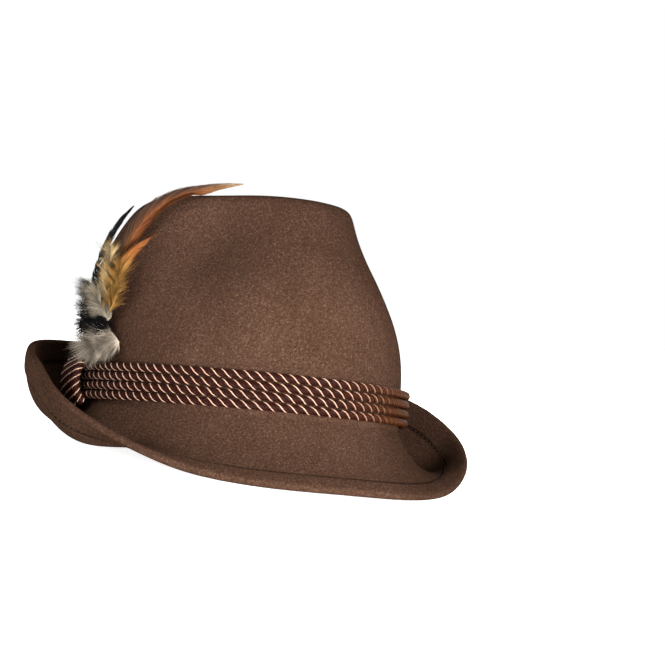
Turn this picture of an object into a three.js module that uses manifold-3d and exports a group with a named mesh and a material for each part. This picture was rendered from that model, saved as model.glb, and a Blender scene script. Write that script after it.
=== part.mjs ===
// A tyrolean hat, in millimetres, +Z up, resting on the plane z = 0 with its front towards -Y.
//
// The felt body is one moulded shell: an oval crown pinched at both front sides and dished on top,
// running without a seam into a brim that is snapped down in front and rolled up at the back.
// Four twisted cords lie one above the other round the foot of the crown. A short wrap of the same
// cord binds them on the wearer's right, and the feathers rise from it.
//
// Everything is first shaped on the head, with the foot of the crown level at z = 0, and is then
// tipped back until the front edge and the back roll of the brim both touch the surface.

import * as THREE from "three";
import Module from "manifold-3d";

const { degToRad, radToDeg, lerp, smoothstep, euclideanModulo } = THREE.MathUtils;
const kernel = await Module();
kernel.setup();

// Driving sizes
const headLength = 198; // inside the crown's foot, front to back
const headWidth = 172; // inside the crown's foot, side to side
const crownHeight = 121; // foot to the nose at the front of the crown
const brimWidth = 58; // measured straight out from the crown's foot
const hemWidth = 10; // doubled strip along the brim's edge
const feltThickness = 2.4;
const hemThickness = 4.8;
const footBend = 4; // radius of the bend from crown to brim
const restFlat = 1; // how far the felt flattens where it rests
const cordThickness = 4.9;
const cordCount = 4;
const cordFoot = 1.8; // height of the lowest cord above the crown's foot
const clearance = 0.3; // between neighbouring pieces
const wrapTurn = -104; // degrees from the front, towards the wearer's right
const wrapLoops = 6;
const wrapFrom = -0.38; // where each loop starts and ends round the cords, in half turns
const wrapTo = 0.5;
const wrapPace = 0.78; // from loop to loop in cord thicknesses, so that the loops press together
const wrapBulge = 0.5; // how far the loops stand off the band, in cord thicknesses

const turnSteps = 56; // facets round the hat

// Crown sections from the foot to the middle of the dished top. Rise is a share of crownHeight,
// and front, side and back are shares of the head's oval.
const crownSections = [
  { rise: 0, front: 1, side: 1, back: 1 },
  { rise: 0.12, front: 1, side: 1, back: 1 },
  { rise: 0.23, front: 1, side: 1, back: 1 },
  { rise: 0.36, front: 0.99, side: 0.995, back: 0.99 },
  { rise: 0.5, front: 0.975, side: 0.98, back: 0.97 },
  { rise: 0.63, front: 0.92, side: 0.95, back: 0.94 },
  { rise: 0.75, front: 0.835, side: 0.9, back: 0.89 },
  { rise: 0.86, front: 0.75, side: 0.83, back: 0.82 },
  { rise: 0.94, front: 0.695, side: 0.77, back: 0.75 },
  { rise: 0.985, front: 0.66, side: 0.71, back: 0.68 },
  { rise: 1, front: 0.61, side: 0.63, back: 0.61 },
  { rise: 0.975, front: 0.52, side: 0.5, back: 0.52 },
  { rise: 0.9, front: 0.4, side: 0.32, back: 0.4 },
  { rise: 0.86, front: 0.2, side: 0.16, back: 0.2 },
  { rise: 0.85, front: 0, side: 0, back: 0 },
];
const crownBackDrop = 0.035; // the back of the crown's rim is this share lower than its nose
const dishStart = 9; // the row of crownSections where the dished top begins

// The pinch on each side of the crown's front. At and wide are degrees from the front, rise and tall
// are shares of crownHeight, and deep is a share of headWidth.
const pinch = { at: 52, wide: 26, rise: 0.77, tall: 0.25, deep: 0.12 };

// Brim sections round the hat, the same on both sides. Turn is in degrees from the front, reach and
// rise are shares of brimWidth out to the edge's middle, leave and arrive are the felt's slopes in
// degrees next to the crown and at the edge, and hold is how far each slope holds, as a share of
// brimWidth.
const brimSections = [
  { turn: 0, reach: 0.6, rise: -0.64, leave: -62, arrive: -36, hold: 0.36 },
  { turn: 22, reach: 0.6, rise: -0.63, leave: -61, arrive: -34, hold: 0.36 },
  { turn: 38, reach: 0.64, rise: -0.55, leave: -60, arrive: -20, hold: 0.38 },
  { turn: 50, reach: 0.7, rise: -0.39, leave: -60, arrive: 4, hold: 0.42 },
  { turn: 62, reach: 0.75, rise: -0.18, leave: -64, arrive: 42, hold: 0.5 },
  { turn: 74, reach: 0.74, rise: 0.05, leave: -66, arrive: 80, hold: 0.56 },
  { turn: 90, reach: 0.61, rise: 0.33, leave: -62, arrive: 98, hold: 0.5 },
  { turn: 120, reach: 0.5, rise: 0.57, leave: -48, arrive: 106, hold: 0.42 },
  { turn: 150, reach: 0.48, rise: 0.68, leave: -40, arrive: 110, hold: 0.38 },
  { turn: 180, reach: 0.48, rise: 0.7, leave: -38, arrive: 110, hold: 0.38 },
];
const brimTurn = -6; // degrees that the snapped part sits towards the wearer's right
const bendRows = [0.35, 0.7, 1]; // shares of the bend at the crown's foot
const openRows = [0.12, 0.25, 0.38, 0.5, 0.62, 0.72]; // shares of the way out to the hem

// Rows of the doubled hem. Inward is the distance from the brim's edge as a share of hemWidth.
const hemRows = [
  { inward: 1.15, thick: feltThickness },
  { inward: 1.04, thick: hemThickness },
  { inward: 0.52, thick: hemThickness },
  { inward: 0.17, thick: hemThickness },
  { inward: 0, thick: 0.7 * hemThickness },
];

// Feathers. Each stands on a loop of the wrap, counted from the back, and its rows run on to the tip.
// Turn is in degrees from the front, reach is a share of the head's oval, rise is a share of
// crownHeight, and wide is the vane's width in millimetres.
const feathers = {
  long_hackle: {
    color: 0x8a4f22,
    loop: 4,
    rows: [
      { turn: -92, reach: 1.07, rise: 0.4, wide: 5 },
      { turn: -90, reach: 1.035, rise: 0.54, wide: 7 },
      { turn: -89, reach: 0.97, rise: 0.685, wide: 8 },
      { turn: -86, reach: 0.905, rise: 0.82, wide: 8.5 },
      { turn: -82, reach: 0.81, rise: 0.925, wide: 8 },
      { turn: -74, reach: 0.725, rise: 0.985, wide: 7.5 },
      { turn: -62, reach: 0.635, rise: 1.03, wide: 6 },
      { turn: -53, reach: 0.545, rise: 1.06, wide: 3.5 },
      { turn: -43, reach: 0.455, rise: 1.083, wide: 1 },
    ],
  },
  short_hackle: {
    color: 0xb07a3c,
    loop: 5,
    rows: [
      { turn: -88, reach: 1.08, rise: 0.42, wide: 6 },
      { turn: -85, reach: 1.055, rise: 0.55, wide: 8 },
      { turn: -82, reach: 1, rise: 0.665, wide: 7 },
      { turn: -79, reach: 0.94, rise: 0.73, wide: 5 },
      { turn: -74, reach: 0.87, rise: 0.785, wide: 1 },
    ],
  },
  black_feather: {
    color: 0x1d1b1a,
    loop: 2,
    rows: [
      { turn: -100, reach: 1.08, rise: 0.38, wide: 4 },
      { turn: -98.5, reach: 1.075, rise: 0.49, wide: 5 },
      { turn: -99.5, reach: 1.045, rise: 0.62, wide: 5 },
      { turn: -101, reach: 0.99, rise: 0.745, wide: 4 },
      { turn: -102, reach: 0.91, rise: 0.855, wide: 3 },
      { turn: -102, reach: 0.83, rise: 0.935, wide: 1 },
    ],
  },
};
const rootReach = 1.05; // share of the head's oval at which the feathers stand
const rootWidth = 2; // width of a feather at its root
const vaneThickness = 1;
const vaneTwist = 38; // degrees that a vane's face is turned from straight out towards the front

// Locks of the down at the feathers' roots. Turn, reach and rise give each tip, as for the feathers.
const downLocks = [
  { turn: -104, reach: 1.18, rise: 0.22 },
  { turn: -104, reach: 1.21, rise: 0.33 },
  { turn: -101, reach: 1.2, rise: 0.42 },
  { turn: -100, reach: 1.18, rise: 0.52 },
  { turn: -94, reach: 1.17, rise: 0.58 },
  { turn: -90, reach: 1.16, rise: 0.5 },
  { turn: -86, reach: 1.14, rise: 0.56 },
  { turn: -83, reach: 1.14, rise: 0.46 },
  { turn: -82, reach: 1.13, rise: 0.36 },
  { turn: -84, reach: 1.15, rise: 0.25 },
  { turn: -94, reach: 1.21, rise: 0.24 },
  { turn: -96, reach: 1.22, rise: 0.44 },
];
const downRoot = { turn: -96, reach: 1.135, rise: 0.242 };
const downSize = 5; // radius of the tuft's head
const lockThickness = 6;
const lockCurl = 0.12; // how far a lock bends outwards, as a share of its length

// Rows along a lock. Thick is a share of lockThickness.
const lockRows = [
  { at: 0, thick: 0 },
  { at: 0.05, thick: 0.97 },
  { at: 0.35, thick: 0.79 },
  { at: 0.7, thick: 0.58 },
  { at: 1, thick: 0 },
];

const ovalLength = headLength / 2 + feltThickness / 2;
const ovalWidth = headWidth / 2 + feltThickness / 2;

// Distance from the axis to the head's oval, half-way through the felt.
function ovalRadius(turn) {
  const t = degToRad(turn);
  return 1 / Math.hypot(Math.sin(t) / ovalWidth, Math.cos(t) / ovalLength);
}

// A point at a turn from the front, a distance from the axis and a height.
function polar(turn, radius, height) {
  const t = degToRad(turn);
  return new THREE.Vector3(radius * Math.sin(t), -radius * Math.cos(t), height);
}

function degreesFromFront(turn) {
  return Math.abs(euclideanModulo(turn + 180, 360) - 180);
}

// A column of the brim's table, on a smooth curve through its rows.
function brimValue(column, turn) {
  const rows = brimSections;
  const at = degreesFromFront(turn - brimTurn);
  let i = 0;
  while (i < rows.length - 2 && rows[i + 1].turn < at) i++;
  const slope = (k) => {
    if (k === 0 || k === rows.length - 1) return 0;
    return (rows[k + 1][column] - rows[k - 1][column]) / (rows[k + 1].turn - rows[k - 1].turn);
  };
  const span = rows[i + 1].turn - rows[i].turn;
  const f = (at - rows[i].turn) / span;
  const start = (1 + 2 * f) * (1 - f) ** 2 * rows[i][column] + f * (1 - f) ** 2 * span * slope(i);
  const end = f * f * (3 - 2 * f) * rows[i + 1][column] - f * f * (1 - f) * span * slope(i + 1);
  return start + end;
}

function pinchDepth(turn, rise) {
  const off = (degreesFromFront(turn) - pinch.at) / pinch.wide;
  const up = (rise - pinch.rise) / pinch.tall;
  return pinch.deep * headWidth * Math.exp(-off * off - up * up);
}

// A point of the crown's middle surface on a row of crownSections.
function crownPoint(turn, k) {
  const { rise, front, side, back } = crownSections[k];
  const c = Math.cos(degToRad(turn));
  const share = lerp(side, c > 0 ? front : back, c * c);
  const towardsMiddle = smoothstep(k, dishStart, dishStart + 3);
  const radius = ovalRadius(turn) * share - pinchDepth(turn, rise) * (1 - towardsMiddle);
  const drop = (crownBackDrop * rise * rise * (1 - c)) / 2;
  return polar(turn, Math.max(radius, 0), crownHeight * (rise - drop));
}

// A point of the bend between crown and brim.
function bendPoint(turn, share) {
  const angle = degToRad(share * (brimValue("leave", turn) + 90));
  const out = footBend * (1 - Math.cos(angle));
  return polar(turn, ovalRadius(turn) + out, -footBend * Math.sin(angle));
}

// A point of the brim's middle surface, on a curve between the two slopes.
function brimPoint(turn, share) {
  const radius = ovalRadius(turn);
  const bend = bendPoint(turn, 1);
  const start = new THREE.Vector2(Math.hypot(bend.x, bend.y) - radius, bend.z);
  const end = new THREE.Vector2(brimValue("reach", turn), brimValue("rise", turn));
  end.multiplyScalar(brimWidth);
  const handle = (column, sign) => {
    const slope = degToRad(brimValue(column, turn));
    const length = sign * brimValue("hold", turn) * brimWidth;
    return new THREE.Vector2(Math.cos(slope), Math.sin(slope)).multiplyScalar(length);
  };
  const curve = new THREE.CubicBezierCurve(
    start,
    start.clone().add(handle("leave", 1)),
    end.clone().add(handle("arrive", -1)),
    end,
  );
  const p = curve.getPoint(share);
  return polar(turn, radius + p.x, p.y);
}

// The felt's rows from the middle of the crown's top to the brim's edge.
function feltRows() {
  const rows = [];
  for (let k = crownSections.length - 1; k >= 0; k--) {
    rows.push({ point: (turn) => crownPoint(turn, k), thick: feltThickness });
  }
  for (const share of bendRows) {
    rows.push({ point: (turn) => bendPoint(turn, share), thick: feltThickness });
  }
  for (const share of openRows) {
    rows.push({ point: (turn) => brimPoint(turn, share), thick: feltThickness });
  }
  for (const { inward, thick } of hemRows) {
    const share = 1 - (inward * hemWidth) / brimWidth;
    rows.push({ point: (turn) => brimPoint(turn, share), thick });
  }
  return rows;
}

// Both skins of the shell round the middle surface. Each is a list of rings from the pole outwards.
function shellSkins(rows) {
  const turns = Array.from({ length: turnSteps }, (_, i) => (360 * i) / turnSteps);
  const grid = rows.map((row) => turns.map((turn) => row.point(turn)));
  const last = rows.length - 1;
  const normal = (j, i) => {
    if (j === 0) return new THREE.Vector3(0, 0, 1);
    const next = grid[j][(i + 1) % turnSteps];
    const before = grid[j][(i + turnSteps - 1) % turnSteps];
    const across = next.clone().sub(before);
    const along = grid[Math.min(j + 1, last)][i].clone().sub(grid[j - 1][i]);
    return along.cross(across).normalize();
  };
  const skin = (sign) =>
    grid.map((ring, j) =>
      ring.map((p, i) => p.clone().addScaledVector(normal(j, i), (sign * rows[j].thick) / 2)),
    );
  return { outer: skin(1), inner: skin(-1) };
}

// Joins rings of points into one closed body. A ring whose points coincide becomes a single point.
function loft(rings, loop = false) {
  const positions = [];
  const index = [];
  const put = (p) => positions.push(p.x, p.y, p.z) / 3 - 1;
  const ids = rings.map((ring) => {
    if (ring[0].distanceTo(ring[1]) < 1e-6) return Array(ring.length).fill(put(ring[0]));
    return ring.map(put);
  });
  const face = (a, b, c) => {
    if (a !== b && b !== c && c !== a) index.push(a, b, c);
  };
  const joints = loop ? ids.length : ids.length - 1;
  for (let j = 0; j < joints; j++) {
    const a = ids[j];
    const b = ids[(j + 1) % ids.length];
    for (let i = 0; i < a.length; i++) {
      const n = (i + 1) % a.length;
      face(a[i], b[i], b[n]);
      face(a[i], b[n], a[n]);
    }
  }
  let volume = 0;
  const corner = (k) => new THREE.Vector3().fromArray(positions, 3 * index[k]);
  for (let k = 0; k < index.length; k += 3) {
    volume += corner(k).dot(corner(k + 1).cross(corner(k + 2)));
  }
  if (volume < 0) index.reverse();
  const geometry = new THREE.BufferGeometry();
  geometry.setAttribute("position", new THREE.Float32BufferAttribute(positions, 3));
  geometry.setIndex(index);
  return geometry;
}

// Joins overlapping closed bodies into one.
function fuse(geometries) {
  const solids = geometries.map((geometry) => {
    const mesh = new kernel.Mesh({
      numProp: 3,
      vertProperties: new Float32Array(geometry.attributes.position.array),
      triVerts: new Uint32Array(geometry.index.array),
    });
    mesh.merge();
    return new kernel.Manifold(mesh);
  });
  const mesh = kernel.Manifold.union(solids).getMesh();
  const fused = new THREE.BufferGeometry();
  fused.setAttribute("position", new THREE.BufferAttribute(mesh.vertProperties, 3));
  fused.setIndex(new THREE.BufferAttribute(mesh.triVerts, 1));
  return fused;
}

// A ring round a centre in the plane of two directions.
function ringAround(centre, u, v, sides, rise, width) {
  return Array.from({ length: sides }, (_, i) => {
    const a = (2 * Math.PI * i) / sides;
    const p = centre.clone().addScaledVector(u, (width / 2) * Math.cos(a));
    return p.addScaledVector(v, (rise / 2) * Math.sin(a));
  });
}

// Height of a cord's middle above the crown's foot, counted from the lowest.
function cordHeight(k) {
  return cordFoot + cordThickness / 2 + k * (cordThickness + clearance);
}

function cordGeometry(k) {
  const sides = 6;
  const up = new THREE.Vector3(0, 0, 1);
  const rings = [];
  for (let i = 0; i < turnSteps; i++) {
    const turn = (360 * i) / turnSteps;
    const radius = ovalRadius(turn) + feltThickness / 2 + clearance + cordThickness / 2;
    const centre = polar(turn, radius, cordHeight(k));
    rings.push(ringAround(centre, polar(turn, 1, 0), up, sides, cordThickness, cordThickness));
  }
  return loft(rings, true);
}

// Height of the wrap's upper end above the crown's foot.
function wrapTop() {
  const bandTop = cordHeight(cordCount - 1) + cordThickness / 2;
  return bandTop + clearance + cordThickness;
}

// Turn of one of the wrap's loops, counted from the back.
function loopTurn(n) {
  const pace = radToDeg((wrapPace * cordThickness) / ovalRadius(wrapTurn));
  return wrapTurn + (n - (wrapLoops - 1) / 2) * pace;
}

// The cord wrapped over the four others, loop beside loop.
function wrapGeometry() {
  const middle = (cordHeight(0) + cordHeight(cordCount - 1)) / 2;
  const tall = wrapTop() - cordThickness / 2 - middle;
  const deep = (1 + wrapBulge) * cordThickness + 2 * clearance;
  const loops = [];
  for (let n = 0; n < wrapLoops; n++) {
    const turn = loopTurn(n);
    const foot = ovalRadius(turn) + feltThickness / 2 + clearance + cordThickness / 2;
    const side = polar(turn + 90, 1, 0);
    const rings = [];
    const steps = 8;
    for (let i = 0; i <= steps; i++) {
      const a = Math.PI * lerp(wrapFrom, wrapTo, i / steps);
      const out = polar(turn, Math.cos(a), (deep / tall) * Math.sin(a)).normalize();
      const centre = polar(turn, foot + deep * Math.cos(a), middle + tall * Math.sin(a));
      rings.push(ringAround(centre, out, side, 6, cordThickness, cordThickness));
    }
    const cap = (ring) => {
      const centre = ring.reduce((sum, p) => sum.add(p), new THREE.Vector3());
      return ring.map(() => centre.clone().divideScalar(ring.length));
    };
    loops.push(loft([cap(rings[0]), ...rings, cap(rings[steps])]));
  }
  return fuse(loops);
}

// A flat curved blade from the wrap through the rows of a feather's table.
function featherGeometry(feather) {
  const stand = (wrapTop() + 1.5 * clearance) / crownHeight;
  const root = { turn: loopTurn(feather.loop), reach: rootReach, rise: stand, wide: rootWidth };
  const rows = [root, ...feather.rows];
  const points = rows.map((r) => polar(r.turn, r.reach * ovalRadius(r.turn), r.rise * crownHeight));
  const path = new THREE.CatmullRomCurve3(points, false, "centripetal");
  const steps = 18;
  const rings = [];
  for (let i = 0; i <= steps; i++) {
    const share = (i / steps) * (rows.length - 1);
    const k = Math.min(Math.floor(share), rows.length - 2);
    const width = lerp(rows[k].wide, rows[k + 1].wide, share - k);
    const centre = path.getPoint(i / steps);
    const along = path.getTangent(i / steps);
    const turn = lerp(rows[k].turn, rows[k + 1].turn, share - k);
    const across = along.clone().cross(polar(turn + vaneTwist, 1, 0)).normalize();
    const through = across.clone().cross(along).normalize();
    const end = i === 0 || i === steps ? 0 : 1;
    const thin = Math.min(vaneThickness, width);
    rings.push(ringAround(centre, across, through, 4, end * thin, end * width));
  }
  return loft(rings);
}

// The down: locks that taper to a tip, joined at a small round head.
function downGeometry() {
  const place = (p) => polar(p.turn, p.reach * ovalRadius(p.turn), p.rise * crownHeight);
  const root = place(downRoot);
  const head = new THREE.IcosahedronGeometry(downSize, 1).translate(root.x, root.y, root.z);
  head.deleteAttribute("normal");
  head.deleteAttribute("uv");
  const headPositions = head.attributes.position;
  head.setIndex(Array.from({ length: headPositions.count }, (_, i) => i));
  const up = new THREE.Vector3(0, 0, 1);
  const locks = downLocks.map((lock) => {
    const tip = place(lock);
    const bend = root.clone().lerp(tip, 0.5);
    bend.addScaledVector(polar(lock.turn, 1, 0), lockCurl * root.distanceTo(tip));
    const path = new THREE.QuadraticBezierCurve3(root, bend, tip);
    const rings = lockRows.map(({ at, thick }) => {
      const size = thick * lockThickness;
      const along = path.getTangent(at);
      const across = along.clone().cross(up).normalize();
      const through = across.clone().cross(along).normalize();
      return ringAround(path.getPoint(at), across, through, 5, size, size);
    });
    return loft(rings);
  });
  return fuse([head, ...locks]);
}

// The turn and lift that bring the front edge and the back roll down onto z = 0.
function restMatrix(skin) {
  const points = skin.flat();
  const lowest = (angle) => {
    const q = new THREE.Quaternion().setFromAxisAngle(new THREE.Vector3(1, 0, 0), angle);
    const ends = { front: Infinity, back: Infinity };
    for (const p of points) {
      const end = p.y < 0 ? "front" : "back";
      ends[end] = Math.min(ends[end], p.clone().applyQuaternion(q).z);
    }
    return ends;
  };
  let [low, high] = [degToRad(-20), degToRad(20)];
  for (let n = 0; n < 40; n++) {
    const middle = (low + high) / 2;
    const ends = lowest(middle);
    if (ends.front < ends.back) high = middle;
    else low = middle;
  }
  const lift = restFlat - lowest(low).front;
  return new THREE.Matrix4().makeTranslation(0, 0, lift).multiply(new THREE.Matrix4().makeRotationX(low));
}

// The felt at rest: wherever either skin would pass below z = 0, both are pushed up together.
function feltGeometry({ outer, inner }, rest) {
  outer.forEach((ring, j) =>
    ring.forEach((p, i) => {
      const q = inner[j][i];
      p.applyMatrix4(rest);
      q.applyMatrix4(rest);
      const push = Math.max(0, -Math.min(p.z, q.z));
      p.z += push;
      q.z += push;
    }),
  );
  return loft([...outer, ...inner.reverse()]);
}

const skins = shellSkins(feltRows());
const rest = restMatrix([...skins.outer, ...skins.inner]);

const hat = new THREE.Group();
hat.name = "tyrolean_hat";

function add(name, geometry, color, roughness) {
  const plain = geometry.toNonIndexed();
  plain.computeVertexNormals();
  const mesh = new THREE.Mesh(plain, new THREE.MeshStandardMaterial({ color, roughness, metalness: 0 }));
  mesh.name = name;
  hat.add(mesh);
}

add("felt_body", feltGeometry(skins, rest), 0x5f4738, 0.95);
for (let k = 0; k < cordCount; k++) {
  add(`band_cord_${k + 1}`, cordGeometry(k).applyMatrix4(rest), 0x4a2a20, 0.5);
}
add("cord_wrap", wrapGeometry().applyMatrix4(rest), 0x5a382c, 0.5);
for (const [name, feather] of Object.entries(feathers)) {
  add(name, featherGeometry(feather).applyMatrix4(rest), feather.color, 0.6);
}
add("down_tuft", downGeometry().applyMatrix4(rest), 0x9a9189, 0.9);

const box = new THREE.Box3().setFromObject(hat);
const centre = box.getCenter(new THREE.Vector3());
hat.position.set(-centre.x, -centre.y, -box.min.z);

export default hat;
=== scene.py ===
import math

import bmesh
import bpy
import numpy as np
from mathutils import Matrix, Vector
from mathutils.bvhtree import BVHTree
from mathutils.kdtree import KDTree


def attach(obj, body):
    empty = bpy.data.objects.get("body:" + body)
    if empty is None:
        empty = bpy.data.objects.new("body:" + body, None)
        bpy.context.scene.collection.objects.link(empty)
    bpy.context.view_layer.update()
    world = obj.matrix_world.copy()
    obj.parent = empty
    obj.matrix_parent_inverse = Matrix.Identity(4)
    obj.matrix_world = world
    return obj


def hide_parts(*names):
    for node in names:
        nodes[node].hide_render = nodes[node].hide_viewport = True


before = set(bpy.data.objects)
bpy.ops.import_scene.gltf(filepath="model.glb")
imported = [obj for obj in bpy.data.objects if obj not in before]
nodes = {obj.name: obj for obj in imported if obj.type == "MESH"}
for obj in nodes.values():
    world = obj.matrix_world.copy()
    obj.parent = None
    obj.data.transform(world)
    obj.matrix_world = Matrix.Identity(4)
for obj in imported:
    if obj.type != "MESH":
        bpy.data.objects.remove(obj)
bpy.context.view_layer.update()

dice = np.random.default_rng(7)

# The hat's own frame is level with the foot of the crown, as the part was shaped before it was set
# down. Lengths are in metres.
hat = {
    "ovalLength": 0.1002,
    "ovalWidth": 0.0872,
    "feltThickness": 0.0024,
    "cordThickness": 0.0049,
    "gap": 0.0003,
    "cordFoot": 0.0018,
    "cordCount": 4,
}


def middleOf(name):
    points = np.array([v.co[:] for v in nodes[name].data.vertices])
    return points.mean(axis=0)


lowCord = middleOf("band_cord_1")
highCord = middleOf("band_cord_4")
hatUp = (highCord - lowCord) / np.linalg.norm(highCord - lowCord)
hatSide = np.array([1.0, 0.0, 0.0])
hatBack = np.cross(hatUp, hatSide)
hatFoot = lowCord - hatUp * (hat["cordFoot"] + hat["cordThickness"] / 2)


def ovalRadius(turn):
    t = np.radians(turn)
    return 1 / np.hypot(np.sin(t) / hat["ovalWidth"], np.cos(t) / hat["ovalLength"])


# The direction straight out from the hat's axis, at a turn in degrees from its front.
def outFrom(turn):
    t = np.radians(np.asarray(turn, float))[..., None]
    return hatSide * np.sin(t) - hatBack * np.cos(t)


# A point at a turn, a distance from the axis and a height above the foot, in metres.
def onHat(turn, radius, rise):
    radius = np.asarray(radius, float)[..., None]
    rise = np.asarray(rise, float)[..., None]
    return hatFoot + radius * outFrom(turn) + rise * hatUp


# The crown's outside as a share of the oval, by height in metres. Above crownEdge is its top.
crownRise = [0.0, 0.028, 0.044, 0.060, 0.076, 0.091, 0.104, 0.114, 0.119, 0.121]
crownShare = [1.0, 1.0, 0.995, 0.978, 0.945, 0.895, 0.825, 0.755, 0.69, 0.0]
crownEdge = 0.119


# Moves points that would lie in the crown out to just above its surface.
def clearOfCrown(points, margin=0.0022):
    rel = points - hatFoot
    x, y, z = rel @ hatSide, rel @ hatBack, rel @ hatUp
    turn = np.degrees(np.arctan2(x, -y))
    radius = np.maximum(np.hypot(x, y), 1e-6)
    least = ovalRadius(turn) * np.interp(z, crownRise, crownShare) + margin
    push = np.where(z < crownEdge, np.maximum(least - radius, 0), 0)
    return points + outFrom(turn) * push[..., None]


def linear(code):
    channels = [int(code[i:i + 2], 16) / 255 for i in (1, 3, 5)]
    return [c / 12.92 if c < 0.04045 else ((c + 0.055) / 1.055) ** 2.4 for c in channels]


def mixed(a, b, share):
    share = np.asarray(share, float)[..., None]
    return np.asarray(a) * (1 - share) + np.asarray(b) * share


# Each column of the rows, read off at new places.
def readOff(at, places, rows):
    return np.stack([np.interp(at, places, rows[:, c]) for c in range(rows.shape[1])], axis=-1)


# The smooth curve from b to c at a share f of the way, where a and d are the points before and after.
def between(a, b, c, d, f):
    return b + 0.5 * f * (c - a + f * (2 * a - 5 * b + 4 * c - d + f * (3 * (b - c) + d - a)))


# Materials

def newMaterial(name):
    material = bpy.data.materials.new(name)
    material.use_nodes = True
    material.node_tree.nodes.clear()
    return material


# Adds a node with its settings, and its inputs as values or as (node, output) links.
def addNode(material, kind, settings=None, inputs=None):
    tree = material.node_tree
    node = tree.nodes.new(kind)
    for key, value in (settings or {}).items():
        setattr(node, key, value)
    for key, value in (inputs or {}).items():
        if isinstance(value, tuple) and isinstance(value[0], bpy.types.Node):
            tree.links.new(value[0].outputs[value[1]], node.inputs[key])
        else:
            node.inputs[key].default_value = value
    return node


def addRamp(material, source, stops):
    ramp = addNode(material, "ShaderNodeValToRGB", inputs={"Fac": source})
    elements = ramp.color_ramp.elements
    while len(elements) < len(stops):
        elements.new(0.5)
    for element, (place, code) in zip(elements, stops):
        element.position = place
        element.color = (*linear(code), 1)
    return ramp


# Two colours multiplied, as an output that other inputs can link to.
def addProduct(material, factor, a, b):
    product = addNode(material, "ShaderNodeMix", {"data_type": "RGBA", "blend_type": "MULTIPLY"}, {
        "Factor": factor, "A": a, "B": b})
    return product, 2


def addAttribute(material, name):
    return addNode(material, "ShaderNodeAttribute", {"attribute_name": name})


def finishMaterial(material, shader):
    output = addNode(material, "ShaderNodeOutputMaterial")
    material.node_tree.links.new(shader.outputs[0], output.inputs["Surface"])
    return material


# Brown wool felt: short pressed fibres, with a lighter fleck where they catch the light.
def feltMaterial():
    m = newMaterial("brown_wool_felt")
    place = (addNode(m, "ShaderNodeTexCoord"), "Object")
    # single fibres about 0.5 mm apart
    grain = addNode(m, "ShaderNodeTexNoise", inputs={
        "Vector": place, "Scale": 2100.0, "Detail": 2.0, "Roughness": 0.6})
    # tufts of wool about 1.1 mm across
    tuft = addNode(m, "ShaderNodeTexNoise", inputs={
        "Vector": place, "Scale": 900.0, "Detail": 3.0, "Roughness": 0.62, "Distortion": 0.5})
    # darker and lighter clouds in the nap, about 30 mm across
    nap = addNode(m, "ShaderNodeTexNoise", inputs={
        "Vector": place, "Scale": 30.0, "Detail": 4.0, "Roughness": 0.6})
    base = addRamp(m, (tuft, "Fac"), [
        (0.3, "#201510"), (0.46, "#2d1f18"), (0.57, "#3a2a21"), (0.72, "#584337")])
    fleck = addRamp(m, (grain, "Fac"), [(0.36, "#1e130f"), (0.52, "#30221a"), (0.7, "#584236")])
    both = addNode(m, "ShaderNodeMix", {"data_type": "RGBA"}, {
        "Factor": 0.42, "A": (base, "Color"), "B": (fleck, "Color")})
    shade = addRamp(m, (nap, "Fac"), [(0.3, "#dcd6d2"), (0.7, "#ffffff")])
    colour = addProduct(m, 0.8, (both, 2), (shade, "Color"))
    # painted shade: the felt is painted darker along the seam's groove, where shade falls
    painted_seam_shade = addRamp(m, (addAttribute(m, "seam"), "Fac"), [(0.0, "#ffffff"), (1.0, "#505050")])
    colour = addProduct(m, 1.0, colour, (painted_seam_shade, "Color"))
    coarse = addNode(m, "ShaderNodeBump", inputs={
        "Strength": 0.3, "Distance": 0.0005, "Height": (tuft, "Fac")})
    fine = addNode(m, "ShaderNodeBump", inputs={
        "Strength": 0.3, "Distance": 0.0003, "Height": (grain, "Fac"),
        "Normal": (coarse, "Normal")})
    shader = addNode(m, "ShaderNodeBsdfPrincipled", inputs={
        "Base Color": colour, "Roughness": 0.9, "Specular IOR Level": 0.0,
        "Normal": (fine, "Normal")})
    return finishMaterial(m, shader)


# Rayon cord: the strands' fine filaments run along them, and colours come with the mesh.
def cordMaterial(name, roughness):
    m = newMaterial(name)
    tint = addAttribute(m, "tint")
    # filaments about 0.15 mm apart, drawn out along the strand
    stretch = addNode(m, "ShaderNodeVectorMath", {"operation": "MULTIPLY"}, {
        0: (addAttribute(m, "lie"), "Vector"), 1: (300.0, 26.0, 1.0)})
    filament = addNode(m, "ShaderNodeTexNoise", inputs={
        "Vector": (stretch, "Vector"), "Scale": 1.0, "Detail": 2.0})
    dim = addRamp(m, (filament, "Fac"), [(0.3, "#9c9c9c"), (0.65, "#ffffff")])
    colour = addProduct(m, 0.8, (tint, "Color"), (dim, "Color"))
    bump = addNode(m, "ShaderNodeBump", inputs={
        "Strength": 0.5, "Distance": 0.0002, "Height": (filament, "Fac")})
    shader = addNode(m, "ShaderNodeBsdfPrincipled", inputs={
        "Base Color": colour, "Roughness": roughness, "Specular IOR Level": 0.05,
        "Normal": (bump, "Normal")})
    return finishMaterial(m, shader)


# Sewing thread along the hem, brown like the felt and a little smoother.
def threadMaterial():
    m = newMaterial("brown_sewing_thread")
    tint = addAttribute(m, "tint")
    shader = addNode(m, "ShaderNodeBsdfPrincipled", inputs={
        "Base Color": (tint, "Color"), "Roughness": 0.6, "Specular IOR Level": 0.3})
    return finishMaterial(m, shader)


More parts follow.
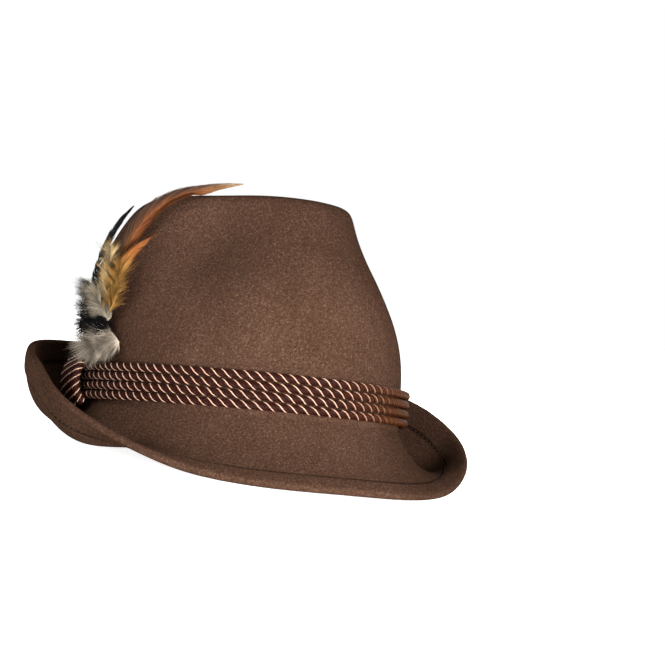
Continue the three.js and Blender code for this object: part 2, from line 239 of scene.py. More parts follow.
# Feather barbs and down: matt, thin enough to let a little light through.
def featherMaterial(name, roughness, through):
    m = newMaterial(name)
    tint = addAttribute(m, "tint")
    shader = addNode(m, "ShaderNodeBsdfPrincipled", inputs={
        "Base Color": (tint, "Color"), "Roughness": roughness, "Specular IOR Level": 0.1})
    glow = addNode(m, "ShaderNodeBsdfTranslucent", inputs={"Color": (tint, "Color")})
    both = addNode(m, "ShaderNodeMixShader", inputs={
        0: through, 1: (shader, 0), 2: (glow, 0)})
    return finishMaterial(m, both)


# Meshes

def unit(v):
    return v / np.maximum(np.linalg.norm(v, axis=-1, keepdims=True), 1e-12)


# What the pattern of filaments moves by once round a tube, and from one tube to the next.
filaments = {"round": 0.08, "apart": 0.37}


# Builds one mesh of many tubes. Paths is (tubes, points, 3), and radius and tint follow it. The
# section is round, or flat when thin is below 1, with its wide side square to facing.
def tubeMesh(name, paths, radius, tint, sides, closed=False, thin=1.0, facing=None):
    tubes, count, _ = paths.shape
    radius = np.broadcast_to(radius, (tubes, count))
    tint = np.broadcast_to(tint, (tubes, count, 3))
    if closed:
        along = np.roll(paths, -1, axis=1) - np.roll(paths, 1, axis=1)
    else:
        along = np.gradient(paths, axis=1)
    along = unit(along)
    if facing is None:
        facing = hatUp + 0.01 * hatSide
    normal = unit(np.cross(along, np.cross(np.broadcast_to(facing, paths.shape), along)))
    across = np.cross(along, normal)
    angle = 2 * np.pi * np.arange(sides) / sides
    ring = (across[:, :, None, :] * np.cos(angle)[None, None, :, None]
            + thin * normal[:, :, None, :] * np.sin(angle)[None, None, :, None])
    verts = (paths[:, :, None, :] + radius[:, :, None, None] * ring).reshape(-1, 3)
    joints = count if closed else count - 1
    t, j, i = np.meshgrid(np.arange(tubes), np.arange(joints), np.arange(sides), indexing="ij")

    def at(a, b):
        return ((t * count + a % count) * sides + b % sides).reshape(-1)

    faces = np.stack([at(j, i), at(j, i + 1), at(j + 1, i + 1), at(j + 1, i)], axis=1)
    mesh = bpy.data.meshes.new(name)
    mesh.from_pydata(verts.tolist(), [], faces.tolist())
    mesh.update()
    colours = np.ones((len(verts), 4))
    colours[:, :3] = np.repeat(tint.reshape(-1, 3), sides, axis=0)
    tints = mesh.color_attributes.new("tint", "FLOAT_COLOR", "POINT")
    tints.data.foreach_set("color", colours.ravel())
    length = np.cumsum(np.linalg.norm(np.gradient(paths, axis=1), axis=-1), axis=1)
    lie = np.zeros((tubes, count, sides, 3))
    lie[..., 0] = np.arange(sides) / sides * filaments["round"]
    lie[..., 1] = length[:, :, None]
    lie[..., 2] = np.arange(tubes)[:, None, None] * filaments["apart"]
    mesh.attributes.new("lie", "FLOAT_VECTOR", "POINT").data.foreach_set("vector", lie.ravel())
    mesh.shade_smooth()
    return mesh


def joinMeshes(name, meshes):
    joined = bmesh.new()
    for mesh in meshes:
        joined.from_mesh(mesh)
        bpy.data.meshes.remove(mesh)
    mesh = bpy.data.meshes.new(name)
    joined.to_mesh(mesh)
    joined.free()
    return mesh


def addPiece(name, mesh, material, slotName, *replaced):
    piece = bpy.data.objects.new(name, mesh)
    bpy.context.scene.collection.objects.link(piece)
    mesh.materials.clear()
    mesh.materials.append(material)
    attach(piece, "root")
    if replaced:
        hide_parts(*replaced)
    return piece


def applyModifiers(piece):
    bpy.ops.object.select_all(action="DESELECT")
    piece.select_set(True)
    bpy.context.view_layer.objects.active = piece
    for modifier in list(piece.modifiers):
        bpy.ops.object.modifier_apply(modifier=modifier.name)
    piece.select_set(False)


# Felt body: the moulded shell, smoothed, with a stitched seam where the doubled hem begins.
feltWork = {
    "smoothing": 2,
    "quadAngle": 60,     # degrees
    "quadShape": 70,
    "hemAngle": 0.45,    # radians
    "hemReach": 0.112,
    "hemEdges": 40,
    "seamPoints": 1600,
    "seamDeep": 0.0011,
    "seamWide": 0.0013,
    "seamShade": 0.0015,
    "seamFine": 0.0032,
    "seamCuts": 2,
    "stitch": 0.0030,
    "stitchGap": 0.0014,
    "threadRadius": 0.00022,
    "threadLift": [-0.8, 0.5, 1.0, 1.0, 0.5, -0.8],    # in radii, along a stitch
    "threadSides": 5,
    "thread": "#30221a",
}
feltMat = feltMaterial()

shell = bmesh.new()
shell.from_mesh(nodes["felt_body"].data)
bmesh.ops.remove_doubles(shell, verts=shell.verts, dist=1e-6)
bmesh.ops.recalc_face_normals(shell, faces=shell.faces)
shell.normal_update()


def turnOf(points):
    rel = points - hatFoot
    return np.arctan2(rel @ hatSide, -(rel @ hatBack))


def isHemStep(edge):
    return (len(edge.link_faces) == 2 and not edge.is_convex
            and abs(edge.calc_face_angle_signed(0)) > feltWork["hemAngle"])


# The step up to the hem is a sharp inward edge that runs round the brim, on both skins. Each run of
# such edges that is long and far out is returned as points in order round the hat.
def hemSteps(mesh):
    joined = {}
    for edge in mesh.edges:
        if isHemStep(edge):
            a, b = edge.verts
            joined.setdefault(a, []).append(b)
            joined.setdefault(b, []).append(a)
    rings = []
    while joined:
        run, waiting = [], [next(iter(joined))]
        while waiting:
            vert = waiting.pop()
            if vert in joined:
                run.append(np.array(vert.co))
                waiting += joined.pop(vert)
        run = np.array(run)
        reach = np.hypot((run - hatFoot) @ hatSide, (run - hatFoot) @ hatBack)
        if len(run) > feltWork["hemEdges"] and reach.min() > feltWork["hemReach"]:
            rings.append(run[np.argsort(turnOf(run))])
    return rings


# Where the step is soft a ring lacks some points. There it keeps its distance from the other skin's
# ring.
def completed(ring, whole):
    at, wholeAt = turnOf(ring), turnOf(whole)
    apart = ring - whole[np.abs(at[:, None] - wholeAt[None]).argmin(axis=1)]
    turns = np.concatenate([at - 2 * np.pi, at, at + 2 * np.pi])
    return whole + readOff(wholeAt, turns, np.tile(apart, (3, 1)))


hemRings = hemSteps(shell)
longest = max(hemRings, key=len)
hemRings = [completed(ring, longest) for ring in hemRings]
bmesh.ops.join_triangles(shell, faces=shell.faces,
                         angle_face_threshold=math.radians(feltWork["quadAngle"]),
                         angle_shape_threshold=math.radians(feltWork["quadShape"]))
feltMesh = bpy.data.meshes.new("felt_hat_body")
shell.to_mesh(feltMesh)
shell.free()
felt = addPiece("felt_hat_body", feltMesh, feltMat, "felt", "felt_body")
smooth = felt.modifiers.new("smooth", "SUBSURF")
smooth.levels = feltWork["smoothing"]
smooth.render_levels = feltWork["smoothing"]
applyModifiers(felt)


def closedCurve(points, count):
    places = np.arange(count) * len(points) / count
    i = places.astype(int)
    f = (places - i)[:, None]
    return between(*(points[(i + k) % len(points)] for k in (-1, 0, 1, 2)), f)


rings = [closedCurve(ring, feltWork["seamPoints"]) for ring in hemRings]
seamTree = KDTree(sum(len(ring) for ring in rings))
for i, point in enumerate(np.concatenate(rings)):
    seamTree.insert(point, i)
seamTree.balance()
surface = bmesh.new()
surface.from_mesh(felt.data)
# a finer mesh along the seams, so that the groove is sharp
near = {vert for vert in surface.verts if seamTree.find(vert.co)[2] < feltWork["seamFine"]}
bmesh.ops.subdivide_edges(surface, edges=[e for e in surface.edges if near.issuperset(e.verts)],
                          cuts=feltWork["seamCuts"], use_grid_fill=True)
bmesh.ops.triangulate(surface, faces=[f for f in surface.faces if len(f.verts) > 4])
surface.normal_update()
surface.verts.index_update()
moves = []
# painted shade along the seam's groove: full at the seam, gone at seamShade from it
painted_seam_shade = np.zeros(len(surface.verts))
for vert in surface.verts:
    distance = seamTree.find(vert.co)[2]
    painted_seam_shade[vert.index] = max(0.0, 1 - (distance / feltWork["seamShade"]) ** 2)
    if distance < feltWork["seamWide"]:
        fall = (1 - (distance / feltWork["seamWide"]) ** 2) ** 2
        moves.append((vert, vert.normal * (-feltWork["seamDeep"] * fall)))
for vert, move in moves:
    vert.co += move
surface.to_mesh(felt.data)
surface.free()
felt.data.attributes.new("seam", "FLOAT", "POINT").data.foreach_set("value", painted_seam_shade)
felt.data.shade_smooth()
print("stage: felt", len(felt.data.polygons), "faces,", len(rings), "seams")

# The stitches lie in the seam's groove, one after another, level with its bottom.
skin = BVHTree.FromPolygons([v.co for v in felt.data.vertices],
                            [p.vertices for p in felt.data.polygons])
lifts = np.array(feltWork["threadLift"]) * feltWork["threadRadius"]
stitchPaths = []
for ring in rings:
    steps = np.linalg.norm(ring - np.roll(ring, 1, axis=0), axis=1)
    length = np.cumsum(steps)
    count = int(length[-1] / (feltWork["stitch"] + feltWork["stitchGap"]))
    pace = length[-1] / count
    for n in range(count):
        path = readOff(n * pace + np.linspace(0, feltWork["stitch"], len(lifts)), length, ring)
        for j, lift in enumerate(lifts):
            spot, normal, _, _ = skin.find_nearest(Vector(path[j]))
            path[j] = np.array(spot + normal * lift)
        stitchPaths.append(path)
stitches = tubeMesh("brim_stitches", np.array(stitchPaths), feltWork["threadRadius"],
                    linear(feltWork["thread"]), feltWork["threadSides"])
addPiece("brim_stitches", stitches, threadMaterial(), "felt")
print("stage: stitches", len(stitchPaths))


# Band cords: four strands twisted together, with a pale thread lying in every other groove.
cordLook = {
    "strands": 4,
    "strandRadius": 0.00116,
    "strandOff": 0.00124,
    "threads": 2,
    "threadRadius": 0.00032,
    "threadOff": 0.00202,
    "pitch": 0.0118,
    "strandSides": 7,
    "threadSides": 5,
    "roughness": 0.42,
    "ringPoints": 620,
    "ringShift": 0.31,    # of a turn, from one cord to the next
    # where the painted sheen is centred round the ring, and where it starts and how fast it comes in
    "paintedSheenTurn": 75,
    "paintedSheenFrom": 0.2,
    "paintedSheenOver": 0.4,
    "dark": "#200b06",
    # painted sheen colours for the strands and the thread on the wearer's left
    "paintedSheen": "#331706",
    "thread": "#b3927f",
    "threadPaintedSheen": "#482a0c",
}


# Paths of strands that wind round a middle line, turns times over its length.
def twist(centres, outward, upward, turns, strands, off, shift, closed):
    count = len(centres)
    phase = -2 * np.pi * turns * np.arange(count) / (count if closed else count - 1)
    paths = []
    for n in range(strands):
        a = phase + 2 * np.pi * (n + shift) / strands
        paths.append(centres + off * (outward * np.cos(a)[:, None] + upward * np.sin(a)[:, None]))
    return np.array(paths)


# One length of cord as a mesh. Shift is where its twist starts, as a share of a turn.
def cordMesh(name, centres, outward, upward, turns, shift, strandTint, threadTint, closed):
    look = cordLook
    facing = None if closed else outward
    strands = twist(centres, outward, upward, turns, look["strands"], look["strandOff"],
                    shift * look["strands"], closed)
    threads = twist(centres, outward, upward, turns, look["threads"], look["threadOff"],
                    (shift + 0.5 / look["strands"]) * look["threads"], closed)
    return joinMeshes(name, [
        tubeMesh("strands", strands, look["strandRadius"], strandTint, look["strandSides"], closed,
                 facing=facing),
        tubeMesh("threads", threads, look["threadRadius"], threadTint, look["threadSides"], closed,
                 facing=facing),
    ])


# Heights and radii of a cord's middle line.
pitchHeight = hat["cordThickness"] + hat["gap"]


def cordRise(k):
    return hat["cordFoot"] + hat["cordThickness"] / 2 + k * pitchHeight


def cordRadius(turn):
    return ovalRadius(turn) + hat["feltThickness"] / 2 + hat["gap"] + hat["cordThickness"] / 2


cordMat = cordMaterial("twisted_rayon_cord", cordLook["roughness"])
ringTurn = np.linspace(0, 360, cordLook["ringPoints"], endpoint=False)
ringOutward = outFrom(ringTurn)
ringUpward = np.broadcast_to(hatUp, ringOutward.shape)
# painted sheen: towards the wearer's left the cords are painted caramel and their pale thread fades,
# standing in for the sheen where the light falls along them
toLeft = np.cos(np.radians(ringTurn - cordLook["paintedSheenTurn"]))
paintedSheenShare = np.clip((toLeft - cordLook["paintedSheenFrom"]) / cordLook["paintedSheenOver"], 0, 1)
strandTint = mixed(linear(cordLook["dark"]), linear(cordLook["paintedSheen"]), paintedSheenShare)
threadTint = mixed(linear(cordLook["thread"]), linear(cordLook["threadPaintedSheen"]), paintedSheenShare)
for k in range(hat["cordCount"]):
    centres = onHat(ringTurn, cordRadius(ringTurn), np.full(len(ringTurn), cordRise(k)))
    around = np.linalg.norm(centres - np.roll(centres, 1, axis=0), axis=1).sum()
    turns = round(around / cordLook["pitch"]) + k % 2
    name = f"twisted_cord_{k + 1}"
    mesh = cordMesh(name, centres, ringOutward, ringUpward, turns, cordLook["ringShift"] * k,
                    strandTint, threadTint, True)
    addPiece(name, mesh, cordMat, "cord", f"band_cord_{k + 1}")
print("stage: cords")


# Cord wrap: the same cord laid over the four in neighbouring loops.
wrap = {
    "turn": -104.0,
    "loops": 6,
    "start": -0.38,    # of half a turn round the four cords
    "end": 0.5,
    "pace": 0.78,
    "bulge": 0.5,
    "points": 60,
    "twists": 4.2,
    "shift": 0.13,
}
topRise = cordRise(hat["cordCount"] - 1)
wrapMiddle = (cordRise(0) + topRise) / 2
wrapTall = topRise + pitchHeight - wrapMiddle
wrapDeep = (1 + wrap["bulge"]) * hat["cordThickness"] + 2 * hat["gap"]
pace = math.degrees(wrap["pace"] * hat["cordThickness"] / ovalRadius(wrap["turn"]))
wrapMeshes = []
for n in range(wrap["loops"]):
    turn = wrap["turn"] + (n - (wrap["loops"] - 1) / 2) * pace
    a = np.pi * np.linspace(wrap["start"], wrap["end"], wrap["points"])
    centres = onHat(np.full(wrap["points"], turn), cordRadius(turn) + wrapDeep * np.cos(a),
                    wrapMiddle + wrapTall * np.sin(a))
    along = unit(np.gradient(centres, axis=0))
    sideways = np.broadcast_to(outFrom(turn + 90.0), centres.shape)
    outward = np.cross(along, sideways)
    wrapMeshes.append(cordMesh("loop", centres, outward, sideways, wrap["twists"],
                               wrap["shift"] * n, linear(cordLook["dark"]),
                               linear(cordLook["thread"]), False))
wrapMesh = joinMeshes("twisted_cord_wrap", wrapMeshes)
addPiece("twisted_cord_wrap", wrapMesh, cordMat, "cord", "cord_wrap")
print("stage: wrap")


# Feathers

# A smooth curve through rows of numbers, at places from 0 to 1.
def throughRows(rows, places):
    rows = np.asarray(rows, float)
    last = len(rows) - 1
    x = np.clip(np.asarray(places), 0, 1) * last
    i = np.minimum(x.astype(int), last - 1)
    f = (x - i)[:, None]
    return between(*(rows[np.clip(i + k, 0, last)] for k in (-1, 0, 1, 2)), f)


# A shaft's table at even places, with its points on the hat and their directions. Rows are the turn
# in degrees, the reach as a share of the oval, the rise in mm and, for a vane, its half width in mm.
def shaftOf(rows, places):
    table = throughRows(rows, places)
    spine = onHat(table[:, 0], table[:, 1] * ovalRadius(table[:, 0]), table[:, 2] / 1000)
    return table, spine, unit(np.gradient(spine, axis=0))


# What the feathers share. Radii are in metres, and each list goes with the places named before it.
vane = {
    "points": 60,
    "shaftSides": 6,
    "shaftPlaces": [0, 0.6, 1],
    "shaftRadius": [0.0005, 0.00026, 0.00008],
    "barbPoints": 7,
    "barbSides": 4,
    "barbPlaces": [0, 0.6, 1],
    "barbTaper": [1, 0.85, 0.15],
    "barbFlat": 0.35,
    "barbFrom": 0.04,
    "barbTo": 0.99,
    "leanPlaces": [0, 0.3, 1],
    "rootLean": 14,    # degrees more than the feather's lean
    "tipLean": 0.7,    # of the feather's lean
    "advance": (0.9, 1.1),
    "fan": 0.8,
    "wave": 0.05,
    "margin": 0.0016,
}


# A feather: a shaft with flat barbs on both sides.
def featherMesh(name, look):
    places = np.linspace(0, 1, vane["points"])
    table, spine, along = shaftOf(look["rows"], places)
    face = outFrom(table[:, 0] + look["twist"])
    across = unit(np.cross(along, face))
    normal = np.cross(across, along)
    shaftTint = mixed(linear(look["shaft"]), linear(look["tip"]), places)
    shaftRadius = np.interp(places, vane["shaftPlaces"], vane["shaftRadius"])
    meshes = [tubeMesh("shaft", spine[None], shaftRadius[None], shaftTint[None], vane["shaftSides"])]
    count = look["barbs"]
    total = np.linalg.norm(np.diff(spine, axis=0), axis=1).sum()
    f = np.linspace(0, 1, vane["barbPoints"])
    taper = np.interp(f, vane["barbPlaces"], vane["barbTaper"])
    leans = [look["lean"] + vane["rootLean"], look["lean"], look["lean"] * vane["tipLean"]]
    for sign in (-1, 1):
        s = np.sort(dice.uniform(vane["barbFrom"], vane["barbTo"], count))
        lean = np.radians(np.interp(s, vane["leanPlaces"], leans))
        # barbs cling together in clumps, with small gaps between
        clump = np.sin(s * look["clumps"] * 2 * np.pi + sign) * look["loose"]
        reach = np.interp(s, places, table[:, 3]) / 1000
        advance = reach / np.tan(lean) * dice.uniform(*vane["advance"], count)
        share = np.minimum(s[:, None] + advance[:, None] * f / total, 1.0)
        wide = np.interp(share, places, table[:, 3]) / 1000
        full = 1 + clump + dice.normal(0, look["ragged"], count)
        side = sign * wide * f ** vane["fan"] * full[:, None]
        off = readOff(share, places, normal)
        cup = np.abs(side) * (dice.normal(0, vane["wave"], count)[:, None] - look["cup"] * f)
        paths = readOff(share, places, spine) + readOff(share, places, across) * side[..., None]
        paths = clearOfCrown(paths + off * cup[..., None], vane["margin"])
        tone = dice.uniform(0, 1, count)[:, None] * np.ones_like(f)[None]
        tint = look["colour"](share, f[None] * np.ones_like(share), sign, tone)
        meshes.append(tubeMesh("barbs", paths, taper[None] * look["barbRadius"], tint,
                               vane["barbSides"], thin=vane["barbFlat"], facing=off))
    return joinMeshes(name, meshes)


def steppedColour(place, stops):
    return readOff(place, [p for p, _ in stops], np.array([linear(c) for _, c in stops]))


# Barb colours, by the place along the shaft, the way out along the barb, the side and a random tone.
# Rust orange, browner along its upper edge, golden at the root and pale at the tip.
def hackleColour(place, out, sign, tone):
    main = steppedColour(place, [(0, "#6c5028"), (0.25, "#663e14"), (0.45, "#562a0a"),
                                 (0.72, "#542b0c"), (0.88, "#684828"), (1, "#8c7e6a")])
    dark = steppedColour(place, [(0, "#4e3a22"), (0.4, "#33231a"), (0.8, "#433024"), (1, "#8c7e6a")])
    edge = np.clip(out * 1.7 + 0.1, 0, 1) * (1 if sign < 0 else 0.15)
    return mixed(main, dark, edge) * (0.5 + tone)[..., None]


def tanColour(place, out, sign, tone):
    main = steppedColour(place, [
        (0, "#94744a"), (0.35, "#8e6834"), (0.65, "#764418"), (1, "#5a3016")])
    dark = steppedColour(place, [(0, "#564022"), (1, "#382010")])
    return mixed(main, dark, np.clip(out - 0.4, 0, 1)) * (0.5 + tone)[..., None]


def blackColour(place, out, sign, tone):
    return np.ones(place.shape + (3,)) * np.array(linear("#151313")) * (0.6 + 0.9 * tone)[..., None]


# Rows run from the root to the tip.
feathers = {
    "long_hackle": {
        "slot": "orange_feather", "twist": 52, "shaft": "#5c3c20", "tip": "#4e3424",
        "barbs": 620, "barbRadius": 0.00018, "lean": 16, "clumps": 6, "loose": 0.03,
        "ragged": 0.05, "cup": 0.12, "colour": hackleColour,
        "rows": [
            (-100.3, 1.05, 27.9, 1.2), (-92, 1.07, 48.4, 2.2), (-90, 1.035, 65.3, 3.6),
            (-88, 0.97, 82.9, 5.0), (-85, 0.905, 99.0, 5.6), (-80.5, 0.81, 111.0, 5.0),
            (-73, 0.725, 117.8, 4.0), (-62, 0.635, 122.6, 2.6), (-53, 0.545, 126.0, 1.4),
            (-43, 0.455, 128.5, 0.3)],
    },
    "short_hackle": {
        "slot": "tan_feather", "twist": 52, "shaft": "#64481f", "tip": "#4e2c14",
        "barbs": 380, "barbRadius": 0.00018, "lean": 17, "clumps": 5, "loose": 0.06,
        "ragged": 0.08, "cup": 0.12, "colour": tanColour,
        "rows": [
            (-97.8, 1.05, 27.9, 1.2), (-88, 1.08, 50.8, 2.6), (-85, 1.055, 66.6, 3.2),
            (-82, 1.0, 80.5, 2.6), (-79, 0.94, 88.3, 1.6), (-74, 0.87, 95.0, 0.3)],
    },
    "black_feather": {
        "slot": "black_feather", "twist": 52, "shaft": "#1e1a18", "tip": "#121010",
        "barbs": 300, "barbRadius": 0.00016, "lean": 18, "clumps": 8, "loose": 0.1,
        "ragged": 0.12, "cup": 0.1, "colour": blackColour,
        "rows": [
            (-105.2, 1.05, 27.9, 1.0), (-100, 1.08, 46, 2.0), (-98.5, 1.075, 59.3, 2.4),
            (-99.5, 1.045, 75, 2.3), (-101, 0.99, 90.1, 2.0), (-102, 0.91, 103.5, 1.4),
            (-102, 0.83, 113.1, 0.3)],
    },
}
featherMat = featherMaterial("feather_vane", 0.5, 0.18)
for name, look in feathers.items():
    addPiece(f"{name}_vane", featherMesh(f"{name}_vane", look), featherMat, look["slot"], name)
print("stage: feathers")


# What all the down shares. A pair is the least and the most of a random factor, a number its spread.
fluff = {
    "points": 24,
    "shaftSides": 5,
    "shaftRadius": (0.0004, 0.0001),
    "barbPoints": 7,
    "barbSides": 3,
    "barbPlaces": [0, 0.5, 1],
    "barbTaper": [1, 0.8, 0.2],
    "barbPlace": 0.02,
    "barbWay": 0.1,
    "wispLength": (0.6, 1.1),
    "barbLength": (0.7, 1.05),
    "wispLean": 0.22,    # radians
    "barbLean": 0.08,
    "straighten": 0.3,
    "sag": (0.1, 0.6),
    "curl": 0.5,
    "barbCurl": 0.2,
    "fade": 1.4,
    "wispTone": (0.35, 1.7),
    "barbTone": (0.6, 1.4),
}
# outwards at the tuft, and to the hat's front from there
favourWays = (outFrom(-100.0), outFrom(-10.0), hatUp)


# Down: fine barbs that stand all round short shafts and droop at their tips. They cling together in
# wisps that share a place, a direction and a curl.
def downMesh(name, look):
    meshes = []
    places = np.linspace(0, 1, fluff["points"])
    f = np.linspace(0, 1, fluff["barbPoints"])
    taper = np.interp(f, fluff["barbPlaces"], fluff["barbTaper"])
    for shaft in look["shafts"]:
        table, spine, along = shaftOf(shaft["rows"], places)
        shaftRadius = np.linspace(*fluff["shaftRadius"], len(places))
        meshes.append(tubeMesh("shaft", clearOfCrown(spine)[None], shaftRadius[None],
                               linear(shaft["root"]), fluff["shaftSides"]))
        count, wisps = shaft["barbs"], shaft["wisps"]
        pick = dice.integers(0, wisps, count)
        s = dice.uniform(0, 1, wisps)[pick] + dice.normal(0, fluff["barbPlace"], count)
        s = np.clip(s, 0, 1)
        at = readOff(s, places, spine)
        go = unit(readOff(s, places, along))
        # most barbs lean to one side of the shaft
        favour = sum(w * way for w, way in zip(shaft["favour"], favourWays))
        wild = unit(dice.normal(0, 1, (wisps, 3)) + np.asarray(favour) * shaft["pull"])[pick]
        wild = unit(wild + dice.normal(0, fluff["barbWay"], (count, 3)))
        wild = unit(wild - go * (wild * go).sum(axis=1, keepdims=True))
        length = shaft["length"] / 1000 * dice.uniform(*fluff["wispLength"], wisps)[pick]
        length = length * dice.uniform(*fluff["barbLength"], count)
        lean = np.radians(shaft["lean"]) + dice.normal(0, fluff["wispLean"], wisps)[pick]
        lean = lean + dice.normal(0, fluff["barbLean"], count)
        sag = dice.uniform(*fluff["sag"], wisps)[pick]
        angle = (lean[:, None] * (1 - fluff["straighten"] * f[None]))[..., None]
        curl = unit(dice.normal(0, 1, (wisps, 3)))[pick]
        curl = curl + dice.normal(0, fluff["barbCurl"], (count, 3))
        bend = f[None, :, None] ** 2
        move = go[:, None] * np.cos(angle) + wild[:, None] * np.sin(angle)
        move = move + fluff["curl"] * curl[:, None] * bend - hatUp * (sag[:, None, None] * bend)
        move = unit(move) * (length[:, None, None] / (len(f) - 1))
        paths = clearOfCrown(at[:, None] + np.cumsum(move, axis=1) - move[:, :1])
        share = f[None] * np.ones((count, 1))
        tint = mixed(linear(shaft["root"]), linear(shaft["tips"]), share ** fluff["fade"])
        tone = dice.uniform(*fluff["wispTone"], wisps)[pick] * dice.uniform(*fluff["barbTone"], count)
        meshes.append(tubeMesh("barbs", paths, taper[None] * shaft["thick"] / 1000,
                               tint * tone[:, None, None], fluff["barbSides"]))
    return joinMeshes(name, meshes)


# Length and thick are the barbs' own, in mm, and favour is the pull outwards, to the front and up.
downs = {
    "down_low": {"shafts": [
        {"rows": [(-82, 1.05, 35.5), (-86, 1.08, 33.5), (-91, 1.11, 31.5)],
         "barbs": 2600, "length": 15, "lean": 60, "wisps": 170,
         "favour": (0.4, -0.7, -0.3), "pull": 1.0, "thick": 0.085,
         "root": "#938a7c", "tips": "#6a6258"},
        {"rows": [(-80, 1.04, 33.5), (-82, 1.07, 32.5), (-84, 1.1, 30.5)],
         "barbs": 1500, "length": 11, "lean": 60, "wisps": 120,
         "favour": (0.4, 0.3, -0.2), "pull": 0.6, "thick": 0.085,
         "root": "#998f81", "tips": "#70675c"},
    ]},
    "down_dark": {"shafts": [
        {"rows": [(-84, 1.06, 40), (-88, 1.11, 41), (-92, 1.15, 42)],
         "barbs": 1900, "length": 10, "lean": 68, "wisps": 100,
         "favour": (0.5, -0.2, 0.2), "pull": 0.5, "thick": 0.17,
         "root": "#060505", "tips": "#040404"},
        {"rows": [(-90, 1.05, 44), (-93, 1.09, 52), (-95, 1.08, 62)],
         "barbs": 1700, "length": 16, "lean": 52, "wisps": 130,
         "favour": (0.7, -0.8, 0.1), "pull": 1.3, "thick": 0.09,
         "root": "#4a443d", "tips": "#060505"},
    ]},
    "down_high": {"shafts": [
        {"rows": [(-87, 1.05, 45), (-89, 1.08, 52), (-91, 1.09, 60)],
         "barbs": 2400, "length": 13, "lean": 54, "wisps": 170,
         "favour": (0.5, -0.5, 0.0), "pull": 0.8, "thick": 0.085,
         "root": "#9b9181", "tips": "#665e52"},
        {"rows": [(-87, 1.06, 54), (-88, 1.07, 68), (-89, 1.05, 82)],
         "barbs": 1500, "length": 11, "lean": 36, "wisps": 120,
         "favour": (0.5, -0.2, 0.3), "pull": 0.6, "thick": 0.085,
         "root": "#c0ab84", "tips": "#8f774c"},
        {"rows": [(-85, 1.07, 50), (-83, 1.07, 61), (-82, 1.06, 72)],
         "barbs": 1000, "length": 13, "lean": 40, "wisps": 100,
         "favour": (0.3, 0.8, 0.3), "pull": 1.1, "thick": 0.085,
         "root": "#a07c42", "tips": "#744e22"},
    ]},
}
downMat = featherMaterial("marabou_down", 0.8, 0.3)
for i, (name, look) in enumerate(downs.items()):
    replaced = ["down_tuft"] if i == 0 else []
    addPiece(name, downMesh(name, look), downMat, "down", *replaced)
print("stage: down")


# Studio

room = {
    "sides": 96,
    "radius": 6.0,
    "wallTop": 0.22,
    "ceilingFrom": 0.5,
    "wallLight": 1.0,
    "ceilingLight": 0.22,
}


# White floor that glows a little, so that it runs into the background without a line.
def floorMaterial():
    m = newMaterial("white_floor")
    shader = addNode(m, "ShaderNodeBsdfPrincipled", inputs={
        "Base Color": (*linear("#fdfdfd"), 1), "Roughness": 0.9, "Specular IOR Level": 0.0,
        "Emission Color": (1.0, 1.0, 1.0, 1), "Emission Strength": 0.9})
    return finishMaterial(m, shader)


bpy.ops.mesh.primitive_circle_add(vertices=room["sides"], radius=room["radius"], fill_type="NGON",
                                  location=(0, 0, 0))
floor = bpy.context.object
floor.name = "pale_floor"
floor.data.materials.append(floorMaterial())

# The studio's walls are white and its ceiling is dimmer.
world = bpy.data.worlds.new("studio")
bpy.context.scene.world = world
world.use_nodes = True
background = world.node_tree.nodes["Background"]
sky = addNode(world, "ShaderNodeTexCoord")
height = addNode(world, "ShaderNodeSeparateXYZ", inputs={"Vector": (sky, "Generated")})
ceiling = addNode(world, "ShaderNodeMapRange", inputs={
    "Value": (height, "Z"), "From Min": room["wallTop"], "From Max": room["ceilingFrom"],
    "To Min": room["wallLight"], "To Max": room["ceilingLight"]})
world.node_tree.links.new(ceiling.outputs["Result"], background.inputs["Strength"])
background.inputs["Color"].default_value = (1.0, 1.0, 1.0, 1)

# The photo's view: angles in degrees, the point that is aimed at, and the pixel where it lies.
photo = {
    "azimuth": -33.0,
    "elevation": 3.0,
    "roll": 9.5,
    "distance": 1.1,
    "metresPerPixel": 0.000572,
    "target": (0.0, 0.0, 0.060),
    "at": (245.0, 352.0),
    "side": 665.0,
    "nearest": 0.05,
}


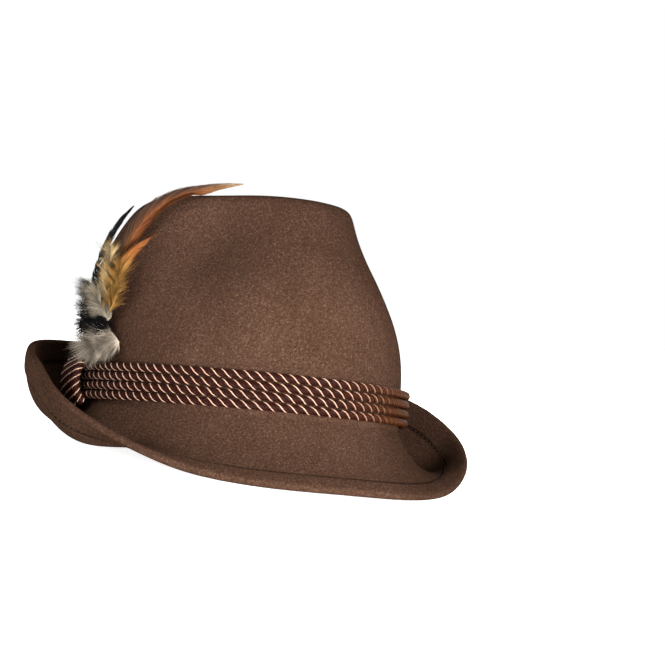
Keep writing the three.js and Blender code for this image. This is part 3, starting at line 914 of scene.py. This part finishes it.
# The direction from the hat to an azimuth and elevation, where azimuth 0 is the hat's front.
def towardsView(azimuth, elevation):
    a, e = math.radians(azimuth), math.radians(elevation)
    return Vector((math.sin(a) * math.cos(e), -math.cos(a) * math.cos(e), math.sin(e)))


def cameraAxes():
    a, r = math.radians(photo["azimuth"]), math.radians(photo["roll"])
    right = Vector((math.cos(a), math.sin(a), 0))
    towards = towardsView(photo["azimuth"], photo["elevation"])
    up = towards.cross(right)
    return right * math.cos(r) + up * math.sin(r), up * math.cos(r) - right * math.sin(r), towards


right, up, towards = cameraAxes()
camera = bpy.data.objects.new("camera", bpy.data.cameras.new("camera"))
bpy.context.scene.collection.objects.link(camera)
place = Matrix((right, up, towards)).transposed().to_4x4()
place.translation = Vector(photo["target"]) + towards * photo["distance"]
camera.matrix_world = place
camera.data.sensor_fit = "AUTO"
camera.data.angle = 2 * math.atan(photo["metresPerPixel"] * photo["side"] / 2 / photo["distance"])
camera.data.shift_x = (photo["side"] / 2 - photo["at"][0]) / photo["side"]
camera.data.shift_y = (photo["at"][1] - photo["side"] / 2) / photo["side"]
camera.data.clip_start = photo["nearest"]
bpy.context.scene.camera = camera


# Round lamps, aimed at a point in the middle of the hat. Distances and sizes are in metres.
lampAim = Vector((0, 0, 0.07))
lamps = {
    "key_light": {"azimuth": -13, "elevation": 1, "distance": 0.68, "size": 0.16, "power": 15.5,
                  "colour": (1.0, 0.97, 0.94)},
    "side_light": {"azimuth": -95, "elevation": 30, "distance": 1.2, "size": 0.5, "power": 12,
                   "colour": (1.0, 0.98, 0.95)},
    "back_light": {"azimuth": 130, "elevation": 30, "distance": 1.3, "size": 0.8, "power": 12,
                   "colour": (1.0, 0.98, 0.95)},
}
for name, look in lamps.items():
    light = bpy.data.lights.new(name, "AREA")
    light.shape = "DISK"
    light.size = look["size"]
    light.energy = look["power"]
    light.color = look["colour"]
    lamp = bpy.data.objects.new(name, light)
    bpy.context.scene.collection.objects.link(lamp)
    towardsLamp = towardsView(look["azimuth"], look["elevation"])
    lamp.location = lampAim + towardsLamp * look["distance"]
    lamp.rotation_euler = towardsLamp.to_track_quat("Z", "Y").to_euler()

bpy.context.scene.view_settings.view_transform = "Standard"
print("stage: studio")
